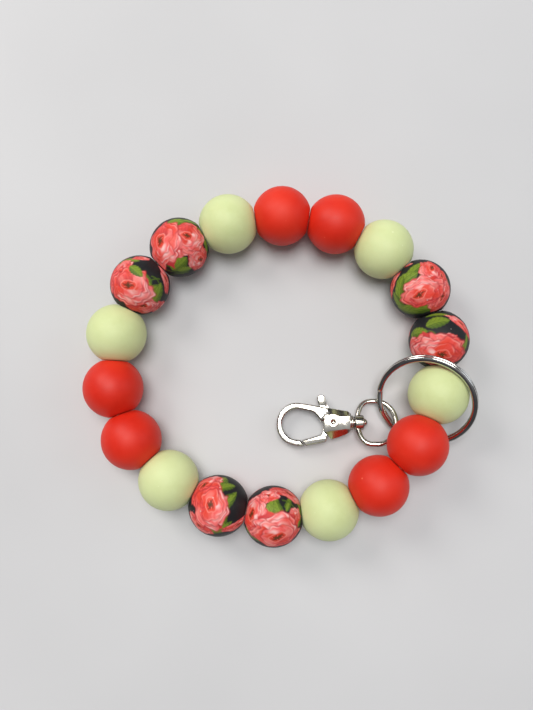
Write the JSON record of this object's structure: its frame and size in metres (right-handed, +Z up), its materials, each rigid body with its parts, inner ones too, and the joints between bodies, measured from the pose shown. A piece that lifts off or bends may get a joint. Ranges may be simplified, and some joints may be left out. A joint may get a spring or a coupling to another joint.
{
  "type": "beaded wristlet keychain",
  "caption": "Stretch wristlet of round silicone beads on an elastic cord, with a split key ring round the string and a swivel lobster clasp for keys.",
  "frame": {"origin": "middle of the bottom of the overall box; the beads rest on z = 0", "axes": "+X along the clasp from its hook towards its swivel eye, which is the longest way across; +Z up, out of the face of the loop, the shortest way; +Y completes a right-handed set"},
  "size_m": [0.0978, 0.0906, 0.0179],
  "materials": {
    "red_silicone": "matte",
    "green_silicone": "matte",
    "floral_silicone": "matte, printed flowers",
    "cord_elastic": "smooth",
    "ring_steel": "polished",
    "clasp_nickel": "polished",
    "spring_steel": "drawn wire"
  },
  "bodies": {
    "cord": {"elastic_cord": "cord_elastic"},
    "key_ring": {"split_key_ring": "ring_steel"},
    "eye": {"swivel_eye": "clasp_nickel"},
    "clasp": {"clasp_body": "clasp_nickel", "swivel_pin": "clasp_nickel", "gate_rivet": "clasp_nickel", "gate_spring": "spring_steel"},
    "gate": {"gate_lever": "clasp_nickel"},
    "bead_01": {"bead_01_green": "green_silicone"},
    "bead_02": {"bead_02_red": "red_silicone"},
    "bead_03": {"bead_03_red": "red_silicone"},
    "bead_04": {"bead_04_green": "green_silicone"},
    "bead_05": {"bead_05_floral": "floral_silicone"},
    "bead_06": {"bead_06_floral": "floral_silicone"},
    "bead_07": {"bead_07_green": "green_silicone"},
    "bead_08": {"bead_08_red": "red_silicone"},
    "bead_09": {"bead_09_red": "red_silicone"},
    "bead_10": {"bead_10_green": "green_silicone"},
    "bead_11": {"bead_11_floral": "floral_silicone"},
    "bead_12": {"bead_12_floral": "floral_silicone"},
    "bead_13": {"bead_13_green": "green_silicone"},
    "bead_14": {"bead_14_red": "red_silicone"},
    "bead_15": {"bead_15_red": "red_silicone"},
    "bead_16": {"bead_16_green": "green_silicone"},
    "bead_17": {"bead_17_floral": "floral_silicone"},
    "bead_18": {"bead_18_floral": "floral_silicone"}
  },
  "joints": [
    {"name": "key_ring_lift", "type": "hinge", "parent": "cord", "child": "key_ring", "pos_m": [0.03818, -0.01439, 0.00841], "axis": [0.683, 0.683, -0.2588], "range_deg": [0, 85]},
    {"name": "eye_swing", "type": "hinge", "parent": "key_ring", "child": "eye", "pos_m": [0.02968, -0.01109, 0.00241], "axis": [-0.2346, 0.8754, -0.4226], "range_deg": [0, 22]},
    {"name": "clasp_swivel", "type": "hinge", "parent": "eye", "child": "clasp", "pos_m": [0.02091, -0.01489, 0.00243], "axis": [0.9998, 0, 0.0174], "continuous": true},
    {"name": "gate_open", "type": "hinge", "parent": "clasp", "child": "gate", "pos_m": [0.01408, -0.01469, 0.00231], "axis": [0.0174, 0, -0.9998], "range_deg": [0, 26], "stiffness_Nm_per_rad": 0.01, "springref_deg": -20.05},
    {"name": "spin_bead_01", "type": "hinge", "parent": "cord", "child": "bead_01", "pos_m": [-0.01282, 0.03581, 0.00751], "axis": [0.9582, 0.286, 0], "continuous": true},
    {"name": "spin_bead_02", "type": "hinge", "parent": "cord", "child": "bead_02", "pos_m": [0.00093, 0.03791, 0.00751], "axis": [0.9999, 0.0142, 0], "continuous": true},
    {"name": "spin_bead_03", "type": "hinge", "parent": "cord", "child": "bead_03", "pos_m": [0.01463, 0.03576, 0.00751], "axis": [0.9472, -0.3205, 0], "continuous": true},
    {"name": "spin_bead_04", "type": "hinge", "parent": "cord", "child": "bead_04", "pos_m": [0.02688, 0.02926, 0.00751], "axis": [0.7966, -0.6045, 0], "continuous": true},
    {"name": "spin_bead_05", "type": "hinge", "parent": "cord", "child": "bead_05", "pos_m": [0.03603, 0.01901, 0.00751], "axis": [0.5092, -0.8606, 0], "continuous": true},
    {"name": "spin_bead_06", "type": "hinge", "parent": "cord", "child": "bead_06", "pos_m": [0.04053, 0.00606, 0.00751], "axis": [0.1354, -0.9908, 0], "continuous": true},
    {"name": "spin_bead_07", "type": "hinge", "parent": "cord", "child": "bead_07", "pos_m": [0.03983, -0.00764, 0.00896], "axis": [-0.2324, -0.9509, 0.2043], "continuous": true},
    {"name": "spin_bead_08", "type": "hinge", "parent": "cord", "child": "bead_08", "pos_m": [0.03413, -0.02014, 0.01041], "axis": [-0.5758, -0.8176, 0], "continuous": true},
    {"name": "spin_bead_09", "type": "hinge", "parent": "cord", "child": "bead_09", "pos_m": [0.02463, -0.03014, 0.00896], "axis": [-0.7718, -0.6018, -0.2053], "continuous": true},
    {"name": "spin_bead_10", "type": "hinge", "parent": "cord", "child": "bead_10", "pos_m": [0.01243, -0.03634, 0.00751], "axis": [-0.9607, -0.2775, 0], "continuous": true},
    {"name": "spin_bead_11", "type": "hinge", "parent": "cord", "child": "bead_11", "pos_m": [-0.00132, -0.03789, 0.00751], "axis": [-0.9984, 0.0571, 0], "continuous": true},
    {"name": "spin_bead_12", "type": "hinge", "parent": "cord", "child": "bead_12", "pos_m": [-0.01497, -0.03524, 0.00751], "axis": [-0.9472, 0.3205, 0], "continuous": true},
    {"name": "spin_bead_13", "type": "hinge", "parent": "cord", "child": "bead_13", "pos_m": [-0.02737, -0.02899, 0.00751], "axis": [-0.8209, 0.5711, 0], "continuous": true},
    {"name": "spin_bead_14", "type": "hinge", "parent": "cord", "child": "bead_14", "pos_m": [-0.03682, -0.01899, 0.00751], "axis": [-0.5249, 0.8512, 0], "continuous": true},
    {"name": "spin_bead_15", "type": "hinge", "parent": "cord", "child": "bead_15", "pos_m": [-0.04157, -0.00609, 0.00751], "axis": [-0.1504, 0.9886, 0], "continuous": true},
    {"name": "spin_bead_16", "type": "hinge", "parent": "cord", "child": "bead_16", "pos_m": [-0.04092, 0.00761, 0.00751], "axis": [0.2425, 0.9701, 0], "continuous": true},
    {"name": "spin_bead_17", "type": "hinge", "parent": "cord", "child": "bead_17", "pos_m": [-0.03512, 0.02006, 0.00751], "axis": [0.5873, 0.8094, 0], "continuous": true},
    {"name": "spin_bead_18", "type": "hinge", "parent": "cord", "child": "bead_18", "pos_m": [-0.02527, 0.02976, 0.00751], "axis": [0.8176, 0.5758, 0], "continuous": true}
  ]
}
